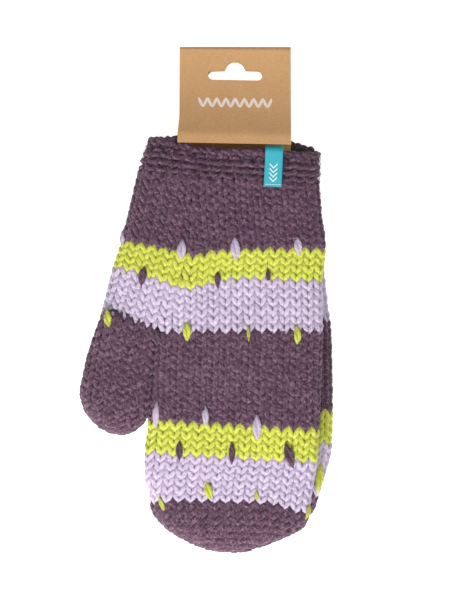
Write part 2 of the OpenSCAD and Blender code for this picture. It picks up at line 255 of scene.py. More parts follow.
# low and high are factors on the colour: painted shade in the deepest gaps and painted light on the highest
# yarn
def yarn_material(name, dark, middle, pale, fleck, ply_depth, fibre_depth, low=0.36, high=1.0):
    """Plied wool. The yarn attribute runs round and along each strand, in millimetres."""
    material, tree, shader = new_material(name, Roughness=0.88, Sheen_Weight=0.25,
                                          Sheen_Roughness=0.45, Specular_IOR_Level=0.25)
    yarn, height = attribute(tree, "yarn", "Vector"), attribute(tree, "height", "Fac")
    drawn = add(tree, "Mapping", {"Vector": yarn, "Scale": (1.0, 1.0, 0.22)}).outputs[0]
    fibres = noise(tree, drawn, 1.7, 5.0, 0.7)
    flecks = noise(tree, yarn, 0.9, 3.0, 0.75)
    colour = ramp(tree, fibres, [(0.3, dark), (0.5, middle), (0.72, pale)])
    spots = ramp(tree, flecks, [(0.56, (0, 0, 0, 1)), (0.74, (fleck, fleck, fleck, 1))])
    colour = clouded(tree, mix(tree, spots, colour, pale), yarn, 0.06, 0.9)
    # Painted shade and light: the colour is multiplied by low where the yarn lies deep between its
    # neighbours and on the backing behind them, rising to high on the highest yarn; a high above 1 is
    # painted light
    gap = add(tree, "MapRange", {0: height, 1: -1.5, 2: 1.6, 3: low, 4: high}).outputs[0]
    colour = multiplied(tree, colour, gap)
    axes = add(tree, "SeparateXYZ", {0: yarn})
    calc = partial(math_node, tree)
    across, along = (calc("POWER", axes.outputs[k], 2.0) for k in (0, 1))
    ply = calc("MULTIPLY", calc("ABSOLUTE", calc("SUBTRACT", across, along)), ply_depth)
    relief = calc("MULTIPLY_ADD", fibres, fibre_depth)
    tree.links.new(ply, relief.node.inputs[2])
    finish(tree, shader, colour, relief)
    return material


# The purple gets the deepest painted shade in its gaps and painted light on its tops; the lime and lilac get
# a lighter painted shade only
purple_wool = yarn_material("purple_wool", srgb(36, 20, 31), srgb(84, 53, 74), srgb(166, 126, 150),
                            1.0, 0.25, 1.5, low=0.28, high=1.22)
lime_wool = yarn_material("lime_wool", srgb(178, 182, 46), srgb(211, 217, 80), srgb(232, 238, 132),
                          0.3, 0.3, 0.5, low=0.5)
lilac_wool = yarn_material("lilac_wool", srgb(176, 158, 186), srgb(209, 192, 217),
                           srgb(233, 221, 239), 0.3, 0.3, 0.5, low=0.55)


def fleece_material():
    """Dark brushed fleece with short curled pile."""
    material, tree, shader = new_material("charcoal_fleece", Roughness=0.95, Sheen_Weight=0.3,
                                          Sheen_Roughness=0.6, Specular_IOR_Level=0.15)
    place = add(tree, "TexCoord").outputs["Object"]
    pile = noise(tree, place, 1400.0, 5.0, 0.7)
    clumps = add(tree, "TexVoronoi", {"Vector": place, "Scale": 420.0}).outputs[0]
    colour = ramp(tree, pile, [(0.3, srgb(24, 25, 28)), (0.55, srgb(46, 48, 52)),
                               (0.8, srgb(84, 86, 90))])
    finish(tree, shader, colour, math_node(tree, "ADD", pile, clumps), 0.9, 0.6)
    return material


charcoal_fleece = fleece_material()


# ---- the mitten's surface
# Lines that the rows follow across the hand: distance down the hand, then points (x, y)
ROW_LINES = [
    (0.0, [(-52, 7.5), (-40, 6.5), (-26, 3), (-12, 0.8), (10, 0.4), (40, -1.5), (52, -3)]),
    (WRIST_V, [(-58, -12), (-12, -17), (50, -20.5)]),
    (LIME_V, [(-67, -53.5), (-37, -59), (-24, -63.5), (-15, -60), (0, -59), (54, -58.5)]),
    (LILAC_V, [(-72, -69), (-58, -71.5), (-46, -75.5), (-35, -80), (-31, -82.5), (-19, -80),
               (-10, -76.5), (5, -75), (51, -77.5)]),
    (SPLIT_V, [(-80, -97), (-64, -100.5), (-45, -107), (-22, -107.2), (51, -107.2)]),
    (FINGER_LIME_V, [(-52, -161), (50, -167.2)]),
    (FINGER_LILAC_V, [(-52, -180), (49, -186)]),
    (TIP_V, [(-52, -211), (-42, -208.3), (0, -208.6), (20, -209.5), (34, -214), (45, -218.5)]),
    (HAND_V, [(-30, -238.75), (30, -238.75)]),
]
# The underside's cuff edge, which stands out past the upper one
UNDER_EDGE = [(-52, 7.5), (-40, 7.5), (0, 6), (30, 6.5), (42, 4), (52, -3)]
# The line where the gusset's slanting wales meet the hand's straight ones
KINK_LINE = [(0, -25.5), (LIME_V, -25.5), (LILAC_V, -31), (SPLIT_V, -45)]
LEFT_EDGE = [(-6, -50), (0, -51.5), (WRIST_V, -57.5), (LIME_V, -67.5), (LILAC_V, -72.5),
             (SPLIT_V, -80), (SPLIT_V + 10, -82.6)]
RIGHT_EDGE = [(0, 51), (WRIST_V, 50), (38, 51.4), (LIME_V, 54), (LILAC_V, 51.8), (SPLIT_V, 52.2),
              (FINGER_LIME_V, 50), (FINGER_LILAC_V, 48.6), (TIP_V, 43.5)]
FLAT = 0.94
ROUND_N = 360
THUMB_START = THUMB_L - THUMB_W * 0.55
SPLIT_LEFT = -HAND_W / 2 - GUSSET_W
SPLIT_KINK = -HAND_W / 2 + 6
THUMB_O = np.array([(SPLIT_LEFT + SPLIT_KINK) / 2,
                    -SPLIT_V + (SPLIT_KINK - SPLIT_LEFT) / 2 * math.tan(BASE_DROP)])


def through(points, at):
    """The value of a line through points (position, value)."""
    return np.interp(at, *zip(*points))


def rounded(share, power):
    """A round end: 1 at the start of the rounding, falling to 0 at its end."""
    return max(0.0, 1 - min(1.0, max(0.0, share)) ** power) ** (1 / power)


def soft_line(points, x):
    """A line through points with its corners rounded off."""
    return np.mean([through(points, x + k) for k in (-4, -2, 0, 2, 4)], axis=0)


def row_y(x, v, under):
    """How far along Y the row line v lies at x. Under is 1 on the underside and 0 on top."""
    stops = [stop for stop, _ in ROW_LINES]
    k = int(np.clip(np.searchsorted(stops, v, side="right") - 1, 0, len(stops) - 2))
    share = (v - stops[k]) / (stops[k + 1] - stops[k])
    near = soft_line(ROW_LINES[k][1], x)
    if k == 0:
        near = near * (1 - under) + soft_line(UNDER_EDGE, x) * under
    return near * (1 - share) + soft_line(ROW_LINES[k + 1][1], x) * share


def loop_outline(left, right, thick, lift, inset, square_left=3.0, square_right=3.0):
    """Closed cross-section (x, z) from its right edge over the top and back along below."""
    t = np.linspace(0, 2 * np.pi, ROUND_N * 2 + 1)
    c, s = np.cos(t), np.sin(t)
    half = (right - left) / 2
    high = thick / (1 + FLAT)
    middle = high * FLAT + lift
    wide = max(half - inset, half / 2 - inset / 4)
    up = max(high - inset, high / 2 - inset / 4)
    down = max(high * FLAT - inset, high * FLAT / 2 - inset / 4)
    power = np.where(c < 0, square_left, square_right)
    power = np.maximum(power, np.where(s < 0, 4.0, 3.0))
    x = (left + right) / 2 + wide * np.sign(c) * np.abs(c) ** (2 / power)
    z = middle + np.where(s >= 0, up, down) * np.sign(s) * np.abs(s) ** (2 / power)
    return x, z


def thumb_half(d):
    if d <= THUMB_START:
        return np.interp(d, [0, THUMB_START / 2, THUMB_START], [17.5, THUMB_W * 0.47, THUMB_W / 2])
    return THUMB_W / 2 * max(0.2, rounded((d - THUMB_START) / (THUMB_L - THUMB_START), 2.08))


def thumb_point(across, d):
    """A point in plan, across the thumb and down its leaning and curling middle line."""
    x = across + THUMB_CURL * (max(0.0, d) / THUMB_L) ** 4
    y = -d - across * math.tan(BASE_DROP - THUMB_LEAN) * max(0.0, 1 - d / 20)
    c, s = math.cos(THUMB_LEAN), math.sin(THUMB_LEAN)
    return np.stack([THUMB_O[0] + x * c + y * s, THUMB_O[1] - x * s + y * c], -1)


# The thumb's knitting and the hand's run into each other by this much, which closes the crease
CREASE_LAP = 2.0
thumb_side = np.array([thumb_point(thumb_half(d), d) for d in np.linspace(0, THUMB_L, 60)])
valley = [(-y, x - CREASE_LAP) for x, y in thumb_side[thumb_side[:, 0] > -HAND_W / 2 - 4]]


def sway(x, y):
    """Gentle unevenness of the upper surface, where the fabric doesn't lie quite flat."""
    return (0.55 * np.sin(x / 17 + 0.6) * np.sin(y / 23 + 1.1) + 0.35 * np.sin((x + y) / 11)
            + 0.3 * np.sin((x - 2 * y) / 19 + 2))


def squareness(run):
    """How square a side is at a distance down the crease, which deepens as it goes."""
    return 3 + 7 * (1 - smooth(run / 38))


def wide_loop(v, inset):
    """A loop round the hand with its gusset, above the base of the thumb."""
    x, z = loop_outline(through(LEFT_EDGE, v), through(RIGHT_EDGE, v), HAND_T, 0, inset)
    under = smooth(1.3 - 1.6 * z / HAND_T)
    y = row_y(x, max(v, 0.0), under) - min(v, 0.0)
    z = z + sway(x, y) * smooth(z / HAND_T * 2 - 1)
    return np.stack([x, y, z], -1)


def narrow_loop(v, inset):
    """A loop round the fingers, from the base of the thumb to the fingertips."""
    share = np.clip((v - TIP_V) / TIP_H, 0, 1)
    stop = min(v, TIP_V)
    left = max(-HAND_W / 2 - 1, through(valley, stop))
    left += 3.4 * smooth((stop - FINGER_LILAC_V - 10) / (TIP_V - FINGER_LILAC_V - 10))
    left -= 1.8 * smooth((stop - FINGER_LIME_V) / 18)
    right = through(RIGHT_EDGE, stop)
    half = (right - left) / 2 * max(0.12, rounded(share, 1.72))
    middle = (left + right) / 2 + share
    thick = HAND_T * max(0.34, rounded(share, 2.6))
    x, z = loop_outline(middle - half, middle + half, thick, (HAND_T - thick) * 0.4, inset,
                        square_left=squareness(v - SPLIT_V))
    y = row_y(x, v, 0) + inset * share
    z = z + sway(x, y) * smooth(z / HAND_T * 2 - 1)
    return np.stack([x, y, z], -1)


def thumb_loop(d, inset):
    """A loop round the thumb at the distance d down its middle line."""
    half = thumb_half(max(0.0, d))
    share = np.clip((d - THUMB_START) / (THUMB_L - THUMB_START), 0, 1)
    thick = HAND_T + (THUMB_T - HAND_T) * smooth(d / 25)
    thick *= max(0.4, rounded(share, 2.6))
    x, z = loop_outline(-half, half, thick, (THUMB_T - min(thick, THUMB_T)) * 0.4, inset,
                        square_right=squareness(d))
    plan = thumb_point(x, d - inset * share)
    z = z + sway(plan[:, 0], plan[:, 1]) * smooth(z / HAND_T * 2 - 1) * (1 - share)
    return np.column_stack([plan, z])


def unit(vectors):
    return vectors / np.maximum(np.linalg.norm(vectors, axis=-1, keepdims=True), 1e-9)


def distances(path):
    """How far along a path each of its points lies."""
    return np.concatenate([[0], np.cumsum(np.linalg.norm(np.diff(path, axis=0), axis=1))])


class Skin:
    """A tube of fabric: its points by arc length c round it and distance v down it."""

    def __init__(self, loop, start, end, inset):
        self.vs = np.arange(start, end + 0.5, 1.0)
        self.vs[-1] = end
        loops = [loop(v, inset) for v in self.vs]
        runs = [distances(points) for points in loops]
        self.total = np.array([run[-1] for run in runs])
        self.quarters = np.array([run[[0, ROUND_N // 2, ROUND_N, ROUND_N * 3 // 2]] for run in runs])
        self.grid = np.array([[np.interp(np.linspace(0, run[-1], ROUND_N * 2 + 1), run, p[:, k])
                               for k in range(3)] for p, run in zip(loops, runs)]).transpose(0, 2, 1)

    def mark(self, quarter, v):
        """Arc length at v of the right edge (0), top middle (1), left edge (2) or under middle (3)."""
        return np.interp(v, self.vs, self.quarters[:, quarter])

    def length(self, v):
        return np.interp(v, self.vs, self.total)

    def arc_at(self, x, v, under=False):
        """Arc length at which the loop v passes x, on the top or along the underside."""
        i = int(np.clip(np.searchsorted(self.vs, v), 0, len(self.vs) - 1))
        left = int(round(self.quarters[i, 2] / self.total[i] * ROUND_N * 2))
        side = slice(left, ROUND_N * 2 + 1) if under else slice(left, None, -1)
        share = np.interp(x, self.grid[i, side, 0], np.arange(ROUND_N * 2 + 1)[side] / (ROUND_N * 2))
        return share * self.length(v)

    def at(self, c, v):
        v = np.clip(v, self.vs[0], self.vs[-1] - 1e-6)
        i = np.clip(np.searchsorted(self.vs, v, side="right") - 1, 0, len(self.vs) - 2)
        f = ((v - self.vs[i]) / (self.vs[i + 1] - self.vs[i]))[..., None]
        column = np.mod(c / self.length(v), 1.0) * ROUND_N * 2
        j = np.minimum(column.astype(int), ROUND_N * 2 - 1)
        g = (column - j)[..., None]
        near = self.grid[i, j] * (1 - g) + self.grid[i, j + 1] * g
        far = self.grid[i + 1, j] * (1 - g) + self.grid[i + 1, j + 1] * g
        return near * (1 - f) + far * f

    def normal(self, c, v, reach=1.3):
        """Outward direction. The surface is sampled a little way off to each side."""
        total = self.length(v)
        v_up, v_down = v - reach, v + reach
        round_it = self.at(c + reach, v) - self.at(c - reach, v)
        down_it = (self.at(c / total * self.length(v_down), v_down)
                   - self.at(c / total * self.length(v_up), v_up))
        return unit(np.cross(round_it, down_it))


# ---- knitting
STITCH_W = 6.9
YARN_R = 1.34
YARN_INSET = 2.9
YARN_FLAT = 0.88
SEGMENTS = 14
SIDES = 8
# How fast the plies of a yarn turn, one turn in 9 mm
PLY_TURN = 2 * np.pi / 9.0
# How far each loop reaches above and below its row's middle, in row heights
REACH = 1.12


def course_edges(runs):
    """Stitch boundaries round one course, from runs of (anchor, start, end) arc lengths.

    Stitches keep their width and stay in line with their run's anchor. Where two runs meet,
    a gap is shared by the stitches beside it, or takes a stitch of its own."""
    groups = []
    for anchor, start, end in runs:
        first = math.ceil((start - anchor) / STITCH_W - 1e-6)
        last = math.floor((end - anchor) / STITCH_W + 1e-6)
        if last >= first:
            groups.append([anchor + k * STITCH_W for k in range(first, last + 1)])
    total = runs[-1][2]
    edges = list(groups[0])
    for group in groups[1:] + [[groups[0][0] + total]]:
        gap = group[0] - edges[-1]
        if gap < 0.55 * STITCH_W:
            edges[-1] = (edges[-1] + group[0]) / 2
            group = group[1:]
        elif gap > 1.5 * STITCH_W:
            edges.append((edges[-1] + group[0]) / 2)
        edges.extend(group)
    edges[0] = edges[-1] - total
    return np.array(edges)


def tube_faces(rings, sides, closed=True):
    """Faces of a tube: rings of points in order, joined end to end if it is closed."""
    i = np.arange(rings if closed else rings - 1)[:, None]
    j = np.arange(sides)[None, :]
    after, beside = (i + 1) % rings, (j + 1) % sides
    return np.stack([i * sides + j, i * sides + beside, after * sides + beside, after * sides + j],
                    -1).reshape(-1, 4)


def tube(path, ahead, out, radius, sides, run, turn=0.0, mark=0.0, flat=1.0, closed=True):
    """A tube along a path: points, faces, yarn, and the height of each side of its rings."""
    ahead = unit(ahead)
    side = unit(np.cross(ahead, out))
    up = np.cross(side, ahead)
    angle = np.linspace(0, 2 * np.pi, sides, endpoint=False)[None, :]
    height = np.cos(angle) * flat
    ring = up[:, None] * np.cos(angle)[..., None] * flat + side[:, None] * np.sin(angle)[..., None]
    points = path[:, None] + ring * radius[:, None, None]
    twist = angle + run[:, None] * PLY_TURN + turn
    yarn = np.stack([np.cos(twist), np.sin(twist), np.broadcast_to(run[:, None] + mark, twist.shape)], -1)
    return points.reshape(-1, 3), tube_faces(len(path), sides, closed), yarn.reshape(-1, 3), height


def ahead_round(path):
    """The way along a closed path at each of its points."""
    return np.roll(path, -1, 0) - np.roll(path, 1, 0)


def knit_course(skin, v, edges, rng, purl=False, reach=REACH, fat=1.0, wild=1.0):
    """One closed loop of yarn through the stitches of a row: points, faces, yarn, height."""
    n = len(edges) - 1
    t = np.linspace(-np.pi, np.pi, SEGMENTS, endpoint=False)[None, :]
    middle = ((edges[:-1] + edges[1:]) / 2)[:, None]
    width = np.diff(edges)[:, None]
    window = (1 + np.cos(t)) / 2
    uneven = rng.normal(0, wild, (5, n, 1))
    c = middle + width * (t / (2 * np.pi) + (0.245 + 0.018 * uneven[0]) * np.sin(2 * t))
    c = c + 0.22 * uneven[1] * window
    down = v - ROW_H * reach * np.cos(t) + 0.2 * uneven[2] * window
    depth = -1.3 * np.cos(2 * t) + 0.3 * np.cos(t) + 0.14 * uneven[3]
    if purl:
        depth = -depth
    radius = YARN_R * fat * (1 - 0.22 * np.cos(2 * t)) * (1 + 0.05 * uneven[4] * window)
    c, down, depth, radius = (np.broadcast_to(a, (n, SEGMENTS)).ravel() for a in (c, down, depth, radius))
    out = skin.normal(c, down)
    path = skin.at(c, down) + out * depth[:, None]
    points, faces, yarn, height = tube(path, ahead_round(path), out, radius, SIDES, distances(path),
                                       mark=rng.uniform(0, 500), flat=YARN_FLAT)
    return points, faces, yarn, (depth[:, None] + radius[:, None] * height).ravel()


def wall(skin, start, end, outer, inner, closed=False, step=3.0, columns=110, ripple=None):
    """A thin wall along a skin, between two depths from it: points, faces, yarn, height, caps."""
    vs = np.linspace(start, end, max(2, int((end - start) / step) + 1))
    share = np.linspace(0, 1, columns, endpoint=False)
    v = np.repeat(vs, columns)
    c = np.concatenate([share * skin.length(row) for row in vs])
    base, out = skin.at(c, v), skin.normal(c, v)
    wave = ripple.normal(0, 0.16, len(c))[:, None] if ripple is not None else 0
    points = np.concatenate([base + out * (outer + wave), base + out * (inner + wave)])
    rows = len(vs)
    shell = tube_faces(rows, columns, closed=False)
    under = shell[:, ::-1] + rows * columns
    j = np.arange(columns)
    k = (j + 1) % columns
    rim = [np.stack([j, j + rows * columns, k + rows * columns, k], -1)]
    last = (rows - 1) * columns
    if closed:
        caps = [np.arange(columns)[None, :] + last, np.arange(columns)[None, ::-1] + last + rows * columns]
    else:
        rim.append(rim[0][:, ::-1] + last)
        caps = []
    yarn = np.column_stack([c, v, np.zeros(len(c))])
    height = np.concatenate([np.full(len(c), outer), np.full(len(c), inner)])
    return points, np.concatenate([shell, under] + rim), np.concatenate([yarn, yarn]), height, caps


def mesh_piece(name, parts, place, material, body=None):
    """One object from parts of (points, faces, yarn, height, caps), placed in the row frame."""
    faces, start = [], 0
    for points, tube_wall, _, _, *caps in parts:
        faces += [block + start for block in [tube_wall, *sum(caps, [])]]
        start += len(points)
    points, yarn, height = (np.concatenate([part[k] for part in parts]) for k in (0, 2, 3))
    mesh = bpy.data.meshes.new(name)
    flat = np.concatenate([block.ravel() for block in faces])
    sizes = np.concatenate([np.full(len(block), block.shape[1]) for block in faces])
    mesh.vertices.add(start)
    mesh.vertices.foreach_set("co", place(points).ravel())
    mesh.loops.add(len(flat))
    mesh.loops.foreach_set("vertex_index", flat.astype(np.int32))
    mesh.polygons.add(len(sizes))
    mesh.polygons.foreach_set("loop_start", (np.cumsum(sizes) - sizes).astype(np.int32))
    mesh.polygons.foreach_set("loop_total", sizes.astype(np.int32))
    mesh.polygons.foreach_set("use_smooth", np.ones(len(sizes), bool))
    mesh.attributes.new("yarn", "FLOAT_VECTOR", "POINT").data.foreach_set(
        "vector", yarn.astype(np.float32).ravel())
    # On the wool the height attribute drives the painted shade and light; on the card it marks the printed
    # face
    mesh.attributes.new("height", "FLOAT", "POINT").data.foreach_set("value", height.astype(np.float32))
    mesh.update(calc_edges=True)
    mesh.validate()
    mesh.materials.append(material)
    piece = stand(name, mesh)
    if body:
        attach(piece, body)
    return piece


def rows_between(start, end):
    """Middles of the rows between two row lines."""
    return start + (np.arange(round((end - start) / ROW_H)) + 0.5) * ROW_H


def end_rows(start, end):
    """Rows over a rounded end, evenly spaced along its surface."""
    count = round((end - start) * np.pi / 2 / ROW_H)
    return start + (end - start) * np.sin((np.arange(count) + 0.5) / (count + 0.5) * np.pi / 2)


def finger_rows(start, end, rise):
    """Rows of the finger part, pulled toward the wrist by more and more beyond the thumb."""
    rows = rows_between(start, end)
    return rows - rise * smooth((rows - SPLIT_V) / 55)


def wide_runs(skin, v):
    kink_x = through(KINK_LINE, v)
    top, under = skin.arc_at(kink_x, v), skin.arc_at(kink_x, v, under=True)
    left, total = skin.mark(2, v), skin.length(v)
    return [(0, 0, top), (left, top, under), (total, under, total)]


def narrow_runs(skin, v):
    left, total = skin.mark(2, v), skin.length(v)
    upper, lower = 0, total
    if v >= TIP_V:
        upper = skin.mark(1, v) - skin.mark(1, TIP_V)
        lower = skin.mark(3, v) - (skin.mark(3, TIP_V) - skin.length(TIP_V))
    return [(upper, 0, left), (lower, left, total)]


def thumb_runs(skin, d):
    left, total = skin.mark(2, d), skin.length(d)
    upper = skin.mark(1, d) + skin.mark(2, 0) - skin.mark(1, 0)
    lower = skin.mark(3, d) + skin.mark(2, 0) - skin.mark(3, 0)
    return [(upper, 0, left), (lower, left, total)]


HAIR_RINGS = 5
HAIR_SIDES = 3
HAIR_R = 0.085
HAIR_LIFT = 1.5
# Square millimetres of fabric for each loose hair
PURPLE_HAIRS = 5.0
CUFF_HAIRS = 2.5
STRIPE_HAIRS = 14.0


def fibres(skin, start, end, spread, rng):
    """Loose fine hairs standing out of the wool, one for every so many square millimetres."""
    middle = (start + end) / 2
    count = int((end - start) * skin.length(middle) / spread)
    v = rng.uniform(start + 1, end - 1, count)
    c = np.array([share * skin.length(row) for share, row in zip(rng.uniform(0, 1, count), v)])
    base, out = skin.at(c, v), skin.normal(c, v)
    along = unit(np.cross(out, rng.normal(0, 1, (count, 3))))
    beside = np.cross(out, along)
    length, bow = rng.uniform(2.0, 5.5, (count, 1)), rng.normal(0, 0.9, (count, 1))
    lift = rng.uniform(0.5, 1.7, (count, 1))
    s = np.linspace(-1, 1, HAIR_RINGS)
    path = (base[:, None] + along[:, None] * (length / 2 * s)[..., None]
            + beside[:, None] * (bow * s ** 2)[..., None]
            + out[:, None] * (HAIR_LIFT + lift * (1 - s ** 2) - 0.8 * np.abs(s) ** 3)[..., None])
    angle = np.arange(HAIR_SIDES) * 2 * np.pi / HAIR_SIDES
    ring = (beside[:, None, None] * np.cos(angle)[:, None] + out[:, None, None] * np.sin(angle)[:, None])
    radius = HAIR_R * (1.15 - s ** 2)
    points = path[:, :, None] + ring * radius[None, :, None, None]
    each = HAIR_RINGS * HAIR_SIDES
    one = tube_faces(HAIR_RINGS, HAIR_SIDES, closed=False)
    faces = (one[None] + (np.arange(count) * each)[:, None, None]).reshape(-1, 4)
    shade = np.repeat(rng.uniform(0, 900, count), each)
    yarn = np.column_stack([np.ones(count * each), np.zeros(count * each), shade])
    return points.reshape(-1, 3), faces, yarn, np.full(count * each, HAIR_LIFT)


def knitting(skin, rows, runs, rng, start, end, closed=False, hairs=PURPLE_HAIRS, reach=REACH, **shape):
    """The courses of one piece, the thin fabric that backs them and their loose hairs."""
    steps = np.clip(np.gradient(rows) / ROW_H, 0.18, 1) if closed else np.ones(len(rows))
    parts = [knit_course(skin, v, course_edges(runs(skin, v)), rng, reach=reach * step, **shape)
             for v, step in zip(rows, steps)]
    # The backing lies deepest, so the wool's painted shade makes it darkest
    parts.append(wall(skin, start, end, -1.0, -1.9, closed))
    parts.append(fibres(skin, start, end, hairs, rng))
    return parts


ROLL_STEP = 1.1
ROLL_TURN = 8.5
ROLL_R = 1.45


def edge_roll(skin, v, rng):
    """Two plies twisted round each other along the mouth of the cuff."""
    total = skin.length(v)
    count = int(total / ROLL_STEP)
    share = np.arange(count) / count
    c = share * total
    out = skin.normal(c, np.full(count, v))
    parts = []
    for phase in (0, np.pi):
        around = phase + 2 * np.pi * round(total / ROLL_TURN) * share
        uneven = np.convolve(rng.normal(0, 0.5, count), [0.3, 0.4, 0.3], "same")
        path = skin.at(c, v + np.cos(around) + uneven) + out * (0.9 * np.sin(around) + 0.2)[:, None]
        radius = ROLL_R * (1 + 0.12 * np.sin(around * 0.5 + rng.uniform(0, 6)))
        points, faces, yarn, height = tube(path, ahead_round(path), out, radius, SIDES, c)
        parts.append((points, faces, yarn, np.tile(height.ravel() * 1.2, count)))
    return parts


wide_skin = Skin(wide_loop, -6, SPLIT_V + 8, YARN_INSET)
narrow_skin = Skin(narrow_loop, SPLIT_V - 8, HAND_V, YARN_INSET)
thumb_skin = Skin(thumb_loop, -6, THUMB_L, YARN_INSET)

CUFF_ROWS = 4
CUFF_FIRST = 5.2
ROLL_V = 2.2
# The purple yarn is the loftiest
PURPLE_FAT = 1.1
# How far the finger stripes sit above their even places
FRONT_RISE = 2.3
REAR_RISE = 5.4

SPINDLE_RINGS = 26
SPINDLE_SIDES = 10


def strand(path, radius, turn=0.0):
    """A tube with closed ends along a path: points, faces, yarn, height, caps."""
    points, faces, yarn, _ = tube(path, np.gradient(path, axis=0), [0, 0, 1.0], radius, SPINDLE_SIDES,
                                  distances(path), turn, turn * 9, closed=False)
    first = np.arange(SPINDLE_SIDES)[None, :]
    caps = [first[:, ::-1], first + len(points) - SPINDLE_SIDES]
    return points, faces, yarn, np.ones(len(points)), caps


def accent(skin, line, x, rise, length, width, lean, lift=0.0):
    """Two strands twisted round each other, bulging over the knitting and diving in at each end."""
    s = np.linspace(0, 1, SPINDLE_RINGS)
    swell = np.maximum(np.sin(np.pi * s), 0) ** 0.75
    v = line - rise + (s - 0.5) * length
    c = np.array([skin.arc_at(x + lean * (k - 0.5), row) for k, row in zip(s, v)])
    out = skin.normal(c, v)
    middle = skin.at(c, v) + out * (0.5 + lift + 1.8 * swell + 0.12 * width)[:, None]
    side = np.cross(unit(np.gradient(middle, axis=0)), out)
    parts = []
    for phase in (0, np.pi):
        around = phase + 1.1 * np.pi * (s - 0.5)
        offset = side * np.cos(around)[:, None] + out * np.sin(around)[:, None] * 0.5
        path = middle + offset * (width * 0.27 * swell)[:, None]
        parts.append(strand(path, width * 0.33 * np.maximum(swell, 0.12), x + phase))
    return parts


def bend_line(place):
    """Where the bend across the palm starts and ends."""
    return [place([0, -BEND_V + k, HAND_T / 2]) for k in (12, -12)]


def thumb_line(place):
    """Where the thumb's turn at its base starts and ends."""
    return [place([*thumb_point(0.0, d), HAND_T / 2]) for d in (0.0, 30.0)]


def knit_mitten(side, place, hand, rng):
    """All the knitted pieces of one mitten, each on its CAD body except the thumb and the front mitten's
    middle band, which are on none.
    """
    def band(name, material, body, rows, start, end, skin=narrow_skin, runs=narrow_runs, **shape):
        parts = knitting(skin, rows, runs, rng, start, end, **shape)
        piece = mesh_piece(f"{side}_{name}_knit", parts, place, material, body)
        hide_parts(f"{side}_{name}")
        return piece

    cuff_rows = np.linspace(CUFF_FIRST, WRIST_V + ROW_H / 2, CUFF_ROWS + 1)[:-1]
    cuff = knitting(wide_skin, cuff_rows, wide_runs, rng, 1.6, WRIST_V, hairs=CUFF_HAIRS, purl=True,
                    reach=0.78, fat=1.25, wild=2.4)
    cuff += edge_roll(wide_skin, ROLL_V, rng)
    piece = mesh_piece(side + "_cuff_knit", cuff, place, purple_wool, hand)
    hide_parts(side + "_cuff")
    for name, start, end, material in (("wrist_band", WRIST_V, LIME_V, purple_wool),
                                       ("wrist_lime_stripe", LIME_V, LILAC_V, lime_wool),
                                       ("wrist_lilac_stripe", LILAC_V, SPLIT_V, lilac_wool)):
        fuller = {"fat": PURPLE_FAT} if material == purple_wool else {"hairs": STRIPE_HAIRS}
        band(name, material, hand, rows_between(start, end), start, end, wide_skin, wide_runs, **fuller)
    fingers = "front_fingers" if side == "front" else hand
    rise = FRONT_RISE if side == "front" else REAR_RISE
    middle = knitting(narrow_skin, finger_rows(SPLIT_V, FINGER_LIME_V, rise), narrow_runs, rng,
                      SPLIT_V - 4, FINGER_LIME_V - rise, fat=PURPLE_FAT)
    # Three stitches close the corner between the thumb and the hand
    for x, drop in ((-1.6, 3.4), (2.0, 4.4), (-5.0, 2.0)):
        middle += accent(wide_skin, SPLIT_V, SPLIT_KINK + x, -drop, 11, 4.4, 0.6, -1.0)
    if side == "front":
        piece = mesh_piece("front_middle_knit", middle, place, purple_wool)
        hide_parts("front_palm_band", "front_knuckle_band")
        line = bend_line(place)
        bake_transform(piece)
    else:
        piece = mesh_piece("rear_middle_knit", middle, place, purple_wool, hand)
        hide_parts("rear_middle_band")
    for name, start, end, material in (("finger_lime_stripe", FINGER_LIME_V, FINGER_LILAC_V, lime_wool),
                                       ("finger_lilac_stripe", FINGER_LILAC_V, TIP_V, lilac_wool)):
        band(name, material, fingers, finger_rows(start, end, rise), start - rise, end - rise,
             hairs=STRIPE_HAIRS)
    band("fingertip", purple_wool, fingers, end_rows(TIP_V - rise, HAND_V - 0.8), TIP_V - rise,
         HAND_V - 2, closed=True, fat=PURPLE_FAT)
    rounding = THUMB_START - 2
    thumb_rows = np.concatenate([np.arange(0.5, rounding, ROW_H), end_rows(rounding, THUMB_L - 0.8)])
    piece = band("thumb", purple_wool, None, thumb_rows, -4, THUMB_L - 1, thumb_skin, thumb_runs,
                 closed=True, fat=PURPLE_FAT)
    base, far = thumb_line(place)
    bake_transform(piece)


knit_mitten("front", to_front, "front_hand", np.random.default_rng(7))
knit_mitten("rear", to_rear, "rear_hand", np.random.default_rng(8))


